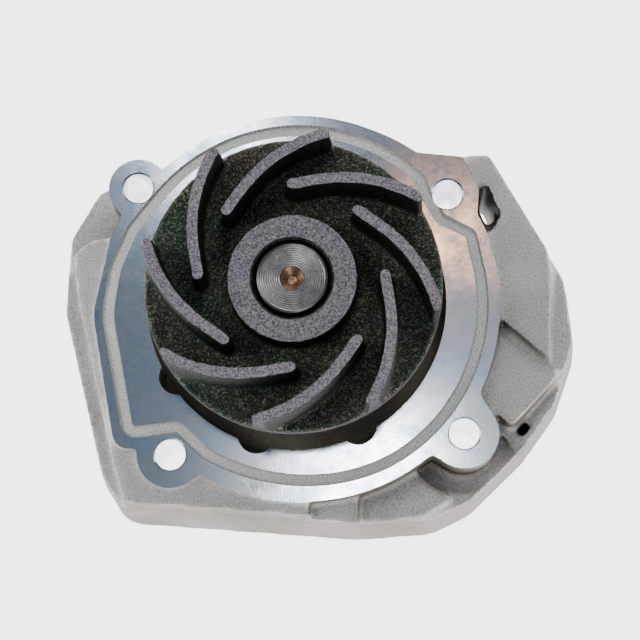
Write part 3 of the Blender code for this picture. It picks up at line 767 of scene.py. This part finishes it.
impeller = place_solid(
    "impeller_casting",
    lathe(
        [
            (0.0, HUB_BACK_Z),
            (11.5, HUB_BACK_Z),
            (12.7, DISC_Z[0] - 1.5),
            (14.9, DISC_Z[0]),
            (DISC_RADIUS - 0.1, DISC_Z[0]),
            (DISC_RADIUS - 0.1, DISC_Z[1]),
            (14.4, DISC_Z[1]),
            (14.2, HUB_TOP_Z + 1.2),
            (0.0, HUB_TOP_Z + 1.2),
        ],
        128,
    ),
)
for index in range(VANE_COUNT):
    vane = block(vane_plan(VANE_TOP_INSET), DISC_Z[0] + 0.6, VANE_TOP_Z + 1.0, VANE_DRAFT)
    vane.transform(Matrix.Rotation(math.tau * index / VANE_COUNT, 4, "Z"))
    work(impeller, vane, "UNION")
melt(impeller, IRON_GRAIN_SIZE, 4)
grit = impeller.modifiers.new("grit", "DISPLACE")
sand_grain = bpy.data.textures.new("sand_grain", "CLOUDS")
sand_grain.noise_scale = 0.0017
sand_grain.noise_depth = 3
grit.texture = sand_grain
grit.texture_coords = "LOCAL"
grit.strength = 0.00042
grit.mid_level = 0.55
impeller.data.materials.clear()
impeller.data.materials.append(raw_iron)
tops = lathe([(0.0, VANE_TOP_Z), (50.0, VANE_TOP_Z), (50.0, 110.0), (0.0, 110.0)], 64)
work(impeller, tops, "DIFFERENCE", cut_iron)
hub_face = lathe([(0.0, HUB_TOP_Z), (16.0, HUB_TOP_Z), (16.0, 100.0), (0.0, 100.0)], 64)
work(impeller, hub_face, "DIFFERENCE", cut_iron)
turned_radius = DISC_RADIUS - 0.2
rim = lathe([(turned_radius, 70.0), (40.0, 70.0), (40.0, 99.0), (turned_radius, 99.0)], 160)
work(impeller, rim, "DIFFERENCE", cut_iron)
bore = lathe(
    [
        (0.0, 60.0),
        (BORE_RADIUS, 60.0),
        (BORE_RADIUS, HUB_TOP_Z - 4.6),
        (COUNTERBORE_RADIUS, HUB_TOP_Z - 4.0),
        (COUNTERBORE_RADIUS, HUB_TOP_Z - 0.5),
        (9.3, HUB_TOP_Z),
        (9.3, 100.0),
        (0.0, 100.0),
    ],
    96,
)
work(impeller, bore, "DIFFERENCE", raw_iron)
settle(impeller)
impeller.data.shade_smooth()
impeller.data.set_sharp_from_angle(angle=math.radians(42))
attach(impeller, "rotor")
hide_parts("impeller")

# ---------------------------------------------------------------- shaft
# The shaft is the bearing's inner race too: bearing steel, ground all over, with two ball tracks.
# Its end is faced on a lathe, which leaves fine rings round a countersunk centre hole.
SHAFT_RADIUS = 7.96
SHAFT_TOP_Z = 90.6
BALL_PITCH_RADIUS = 10.65
TRACK_RADIUS = 3.35
TRACK_HEIGHTS = (21.0, 37.0)
TURNING_RINGS = 9
DIMPLE_RADIUS = 0.0026


def turned_steel(name, tint, ring_scale, ring_depth, roughness):
    made, nodes, join, skin = shader_graph(name)
    place = object_place(nodes)
    rings = nodes.new("ShaderNodeTexWave")
    rings.wave_type = "RINGS"
    rings.rings_direction = "Z"
    rings.inputs["Scale"].default_value = ring_scale
    rings.inputs["Distortion"].default_value = 0.6
    rings.inputs["Detail"].default_value = 4.0
    rings.inputs["Detail Scale"].default_value = 3.0
    join(place, rings.inputs["Vector"])
    wide = cloud(nodes, join, place, 420.0, 5.0, 0.7)
    colour = tones(nodes, join, wide, [(0.32, tuple(v * 0.45 for v in tint)), (0.68, tint)])
    line = tones(nodes, join, rings.outputs["Fac"], [(0.0, grey(0.72)), (0.8, grey(1.0))])
    colour = times(nodes, join, colour, line)
    join(colour, skin.inputs["Base Color"])
    skin.inputs["Metallic"].default_value = 1.0
    shine = tones(nodes, join, wide, [(0.3, grey(roughness + 0.08)), (0.7, grey(roughness - 0.05))])
    join(shine, skin.inputs["Roughness"])
    join(relief(nodes, join, rings.outputs["Fac"], 0.5, ring_depth), skin.inputs["Normal"])
    return made


shaft_steel = turned_steel("shaft_steel", (0.40, 0.375, 0.365), 620.0, 0.0001, 0.30)
dimple_steel = turned_steel("dimple_steel", (0.72, 0.47, 0.30), 900.0, 0.00006, 0.34)


def ball_track(centre_z, steps=12):
    half = math.acos((BALL_PITCH_RADIUS - SHAFT_RADIUS) / TRACK_RADIUS)
    points = []
    for step in range(steps + 1):
        angle = -half + 2 * half * step / steps
        radius = BALL_PITCH_RADIUS - TRACK_RADIUS * math.cos(angle)
        points.append((radius, centre_z + TRACK_RADIUS * math.sin(angle)))
    return points


shaft_profile = [(0.0, 0.0), (7.36, 0.0), (SHAFT_RADIUS, 0.6)]
for track_z in TRACK_HEIGHTS:
    shaft_profile += ball_track(track_z)
shaft_profile += [
    (SHAFT_RADIUS, SHAFT_TOP_Z - 0.7),
    (SHAFT_RADIUS - 0.2, SHAFT_TOP_Z - 0.2),
    (7.3, SHAFT_TOP_Z),
]
for ring in range(TURNING_RINGS):
    ring_radius = 6.9 - ring * 0.5
    shaft_profile += [(ring_radius, SHAFT_TOP_Z - 0.05), (ring_radius - 0.2, SHAFT_TOP_Z)]
shaft_profile += [
    (2.6, SHAFT_TOP_Z - 0.05),
    (1.05, SHAFT_TOP_Z - 1.6),
    (0.95, SHAFT_TOP_Z - 2.4),
    (0.0, SHAFT_TOP_Z - 2.6),
]
shaft = place_solid("shaft_turned", lathe(shaft_profile, 128), shaft_steel)
shaft.data.materials.append(dimple_steel)
for face in shaft.data.polygons:
    if face.center.z > 0.08 and math.hypot(face.center.x, face.center.y) < DIMPLE_RADIUS:
        face.material_index = 1
shaft.data.shade_smooth()
shaft.data.set_sharp_from_angle(angle=math.radians(25))
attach(shaft, "rotor")
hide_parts("pump_shaft")

# ---------------------------------------------------------------- toothed pulley
# A sintered steel cup with twenty round-bottomed teeth for a timing belt. It is pressed on the
# shaft, and steam treatment leaves it an even blue-black grey.
TOOTH_COUNT = 20
PULLEY_RADIUS = 29.7
TOOTH_DEPTH = 2.6
PULLEY_HEIGHT = 26.0


def tooth_line():
    """Belt teeth: flat tips, rounded shoulders and a round trough."""
    pitch = math.tau / TOOTH_COUNT
    outline = []
    for tooth in range(TOOTH_COUNT):
        for step in range(-12, 13):
            share = step / 12 * 0.46
            rise = min(1.0, max(0.0, (abs(share) - 0.06) / 0.22))
            rise = rise * rise * (3 - 2 * rise)
            radius = PULLEY_RADIUS - TOOTH_DEPTH * (1 - rise)
            angle = (tooth + share) * pitch
            outline.append((radius * math.cos(angle), radius * math.sin(angle)))
    return outline


def sintered_steel(name, light, dark, roughness):
    made, nodes, join, skin = shader_graph(name)
    place = object_place(nodes)
    pores = cloud(nodes, join, place, 1500.0, 4.0, 0.7)
    wide = cloud(nodes, join, place, 70.0, 4.0, 0.5)
    colour = tones(nodes, join, wide, [(0.3, dark), (0.7, light)])
    spots = tones(nodes, join, pores, [(0.34, grey(0.4)), (0.46, grey(1.0))])
    join(times(nodes, join, colour, spots), skin.inputs["Base Color"])
    skin.inputs["Metallic"].default_value = 1.0
    shine = tones(nodes, join, wide, [(0.3, grey(roughness + 0.07)), (0.7, grey(roughness - 0.06))])
    join(shine, skin.inputs["Roughness"])
    join(relief(nodes, join, pores, 0.35, 0.00008), skin.inputs["Normal"])
    return made


pulley_steel = sintered_steel("pulley_steel", (0.17, 0.17, 0.18), (0.10, 0.10, 0.108), 0.42)
pulley = place_solid("toothed_pulley", block(tooth_line(), 0.0, PULLEY_HEIGHT), pulley_steel)
pulley_cup = lathe(
    [
        (12.0, PULLEY_HEIGHT + 2.0),
        (12.0, 10.0),
        (11.4, 10.0),
        (11.0, 9.6),
        (11.0, 8.0),
        (12.0, 7.0),
        (22.4, 7.0),
        (23.6, 8.2),
        (23.6, 25.4),
        (24.2, PULLEY_HEIGHT),
        (24.2, PULLEY_HEIGHT + 2.0),
    ],
    128,
)
work(pulley, pulley_cup, "DIFFERENCE", pulley_steel)
work(pulley, post((0, 0), 12.5, 10.0, PULLEY_HEIGHT + 2.0, 96), "DIFFERENCE", pulley_steel)
front_recess = lathe(
    [(13.0, -2.0), (13.4, 1.3), (14.0, 1.5), (23.8, 1.5), (24.5, 1.2), (25.5, -2.0)],
    128,
)
work(pulley, front_recess, "DIFFERENCE", pulley_steel)
shaft_bore = lathe(
    [(0.0, -2.0), (9.0, -2.0), (9.0, -0.2), (BORE_RADIUS, 0.6), (BORE_RADIUS, 30.0), (0.0, 30.0)],
    96,
)
work(pulley, shaft_bore, "DIFFERENCE", pulley_steel)
settle(pulley)
soft_edges = pulley.modifiers.new("soft_edges", "BEVEL")
soft_edges.width = 0.00022
soft_edges.segments = 2
soft_edges.limit_method = "ANGLE"
soft_edges.angle_limit = math.radians(50)
settle(pulley)
pulley.data.shade_smooth()
pulley.data.set_sharp_from_angle(angle=math.radians(40))
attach(pulley, "rotor")
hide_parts("drive_pulley")

# ---------------------------------------------------------------- belt guide plate
# A dished ring pressed from steel sheet, zinc plated, that keeps the belt from running off the
# pulley's inner edge. It sits against the rim and turns with it.
zinc_plated = sintered_steel("zinc_plated", (0.50, 0.49, 0.45), (0.38, 0.38, 0.365), 0.33)
plate = place_solid(
    "guide_plate",
    lathe(
        [
            (24.0, 26.45),
            (24.15, 26.3),
            (30.3, 26.3),
            (31.6, 26.6),
            (32.7, 27.15),
            (32.9, 27.4),
            (32.9, 28.1),
            (32.7, 28.3),
            (32.4, 28.25),
            (31.2, 27.8),
            (30.1, 27.6),
            (24.15, 27.6),
            (24.0, 27.45),
        ],
        128,
    ),
    zinc_plated,
)
plate.data.shade_smooth()
plate.data.set_sharp_from_angle(angle=math.radians(50))
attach(plate, "rotor")
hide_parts("pulley_guide_plate")

# ---------------------------------------------------------------- face seal spring
# A three-turn spring of drawn steel wire pushes the carbon face against its seat.


def drawn_wire(turns, radius, wire, low, pitch):
    per_turn = 48
    bm = bmesh.new()
    ring = bmesh.ops.create_circle(bm, cap_ends=True, segments=12, radius=wire)["verts"]
    stand = Matrix.Rotation(math.radians(90), 4, "X")
    bmesh.ops.transform(bm, matrix=Matrix.Translation((radius, 0, low)) @ stand, verts=ring)
    bmesh.ops.spin(
        bm,
        geom=bm.verts[:] + bm.edges[:] + bm.faces[:],
        cent=(0, 0, 0),
        axis=(0, 0, 1),
        dvec=(0, 0, pitch / per_turn),
        angle=math.tau * turns,
        steps=turns * per_turn,
        use_merge=False,
    )
    return bm


spring_steel = turned_steel("spring_steel", (0.55, 0.54, 0.52), 300.0, 0.00002, 0.3)
spring = place_solid("seal_spring_wire", drawn_wire(3, 14.4, 0.7, 49.4, 2.1), spring_steel)
spring.data.shade_smooth()
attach(spring, "housing")
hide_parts("seal_spring")

# ---------------------------------------------------------------- bearing and seal pieces
# The bearing's outer race and balls are bright hardened steel, its cages moulded nylon and its lip
# seals rubber. The face seal has a brass case, rubber bellows and boot, carbon and ceramic faces.


def moulded(name, light, dark, roughness, grain, depth):
    """Rubber, nylon, carbon or ceramic: soft colour clouds and a fine even grain."""
    made, nodes, join, skin = shader_graph(name)
    place = object_place(nodes)
    wide = cloud(nodes, join, place, 90.0, 4.0, 0.5)
    fine = cloud(nodes, join, place, grain, 3.0, 0.6)
    join(tones(nodes, join, wide, [(0.3, dark), (0.7, light)]), skin.inputs["Base Color"])
    shine = tones(nodes, join, fine, [(0.3, grey(roughness + 0.08)), (0.7, grey(roughness - 0.06))])
    join(shine, skin.inputs["Roughness"])
    join(relief(nodes, join, fine, 0.3, depth), skin.inputs["Normal"])
    return made


ball_steel = turned_steel("ball_steel", (0.72, 0.72, 0.74), 240.0, 0.00001, 0.12)
race_steel = turned_steel("race_steel", (0.62, 0.61, 0.60), 800.0, 0.00003, 0.24)
pressed_brass = turned_steel("pressed_brass", (0.72, 0.54, 0.26), 260.0, 0.00002, 0.28)
black_rubber = moulded(
    "black_rubber", (0.030, 0.030, 0.032), (0.018, 0.018, 0.019), 0.62, 1800.0, 0.00005
)
cage_nylon = moulded(
    "cage_nylon", (0.74, 0.69, 0.54), (0.66, 0.60, 0.45), 0.45, 1200.0, 0.00003
)
carbon_face = moulded(
    "carbon_face", (0.055, 0.056, 0.060), (0.035, 0.035, 0.038), 0.38, 2400.0, 0.00002
)
ceramic_face = moulded(
    "ceramic_face", (0.86, 0.85, 0.81), (0.80, 0.79, 0.74), 0.22, 2600.0, 0.00001
)
BALLS_PER_ROW = 8
finishes = {
    "bearing_outer_race": race_steel,
    "bearing_lip_seal_pulley_side": black_rubber,
    "bearing_lip_seal_impeller_side": black_rubber,
    "ball_cage_pulley_side": cage_nylon,
    "ball_cage_impeller_side": cage_nylon,
    "seal_case": pressed_brass,
    "seal_bellows": black_rubber,
    "seal_carbon_ring": carbon_face,
    "seal_seat_ring": ceramic_face,
    "seal_seat_boot": black_rubber,
}
for node, finish in finishes.items():
    frame["nodes"][node].data.materials.clear()
    frame["nodes"][node].data.materials.append(finish)
for row in ("pulley_side", "impeller_side"):
    for number in range(1, BALLS_PER_ROW + 1):
        ball = frame["nodes"][f"bearing_ball_{row}_{number}"]
        ball.data.materials.clear()
        ball.data.materials.append(ball_steel)

# ---------------------------------------------------------------- floor, light and camera
# A plain white floor that rises far away, and soft overhead panels. The panels differ in tint, so
# the milled ring picks up slate blue on one side, bright white on the other and a little warmth.


def card(name, size, place, colour, power):
    """Soft rectangular light that faces the pump's flange."""
    light = bpy.data.lights.new(name, "AREA")
    light.shape = "RECTANGLE"
    light.size, light.size_y = size
    light.color = colour
    light.energy = power
    made = bpy.data.objects.new(name, light)
    made.location = place
    aim = Vector((0.0, 0.0, FLANGE_Z / 1000)) - Vector(place)
    made.rotation_euler = aim.to_track_quat("-Z", "Y").to_euler()
    bpy.context.scene.collection.objects.link(made)


table_paint, _, _, table_skin = shader_graph("table_paint")
table = place_solid(
    "table",
    lathe([(0.0, 0.0), (7000.0, 0.0), (9000.0, 200.0), (10000.0, 1000.0)], 64),
    table_paint,
)
table_skin.inputs["Base Color"].default_value = (0.92, 0.92, 0.92, 1.0)
table_skin.inputs["Roughness"].default_value = 0.9
table_skin.inputs["Emission Color"].default_value = (1.0, 1.0, 1.0, 1.0)
table_skin.inputs["Emission Strength"].default_value = 3.6

world = bpy.data.worlds.new("studio")
bpy.context.scene.world = world
world.use_nodes = True
world.node_tree.nodes["Background"].inputs["Color"].default_value = (0.40, 0.52, 0.68, 1.0)
world.node_tree.nodes["Background"].inputs["Strength"].default_value = 0.30

card("white_panel", (0.085, 0.085), (0.010, 0.075, 1.066), (1.0, 1.0, 0.98), 0.42)
card("top_left_panel", (0.055, 0.055), (-0.100, 0.330, 1.066), (1.0, 1.0, 1.0), 0.17)
card("warm_panel", (0.055, 0.050), (0.068, 0.264, 1.066), (1.0, 0.52, 0.28), 0.05)
card("silver_panel", (0.24, 0.34), (0.17, 0.20, 1.10), (0.80, 0.90, 1.0), 0.045)
card("left_side_light", (0.6, 0.6), (-1.0, 0.1, 1.2), (1.0, 0.98, 0.96), 7.4)
card("front_side_light", (0.8, 0.5), (0.5, -1.2, 1.1), (1.0, 0.97, 0.93), 4.4)
card("back_side_light", (0.8, 0.5), (0.3, 1.3, 1.2), (1.0, 0.99, 0.97), 8.6)

camera_data = bpy.data.cameras.new("camera")
camera_data.lens = 111.8
camera_data.sensor_width = 36.0
camera_data.clip_start = 0.01
camera_data.clip_end = 200.0
camera = bpy.data.objects.new("camera", camera_data)
right = Vector((0.99953, 0.00604, -0.02999))
up = Vector((0.0, 0.98028, 0.1976))
back = right.cross(up)
camera.matrix_world = Matrix(
    (
        (right.x, up.x, back.x, 0.01948),
        (right.y, up.y, back.y, -0.09506),
        (right.z, up.z, back.z, 0.51551),
        (0.0, 0.0, 0.0, 1.0),
    )
)
bpy.context.scene.collection.objects.link(camera)
bpy.context.scene.camera = camera
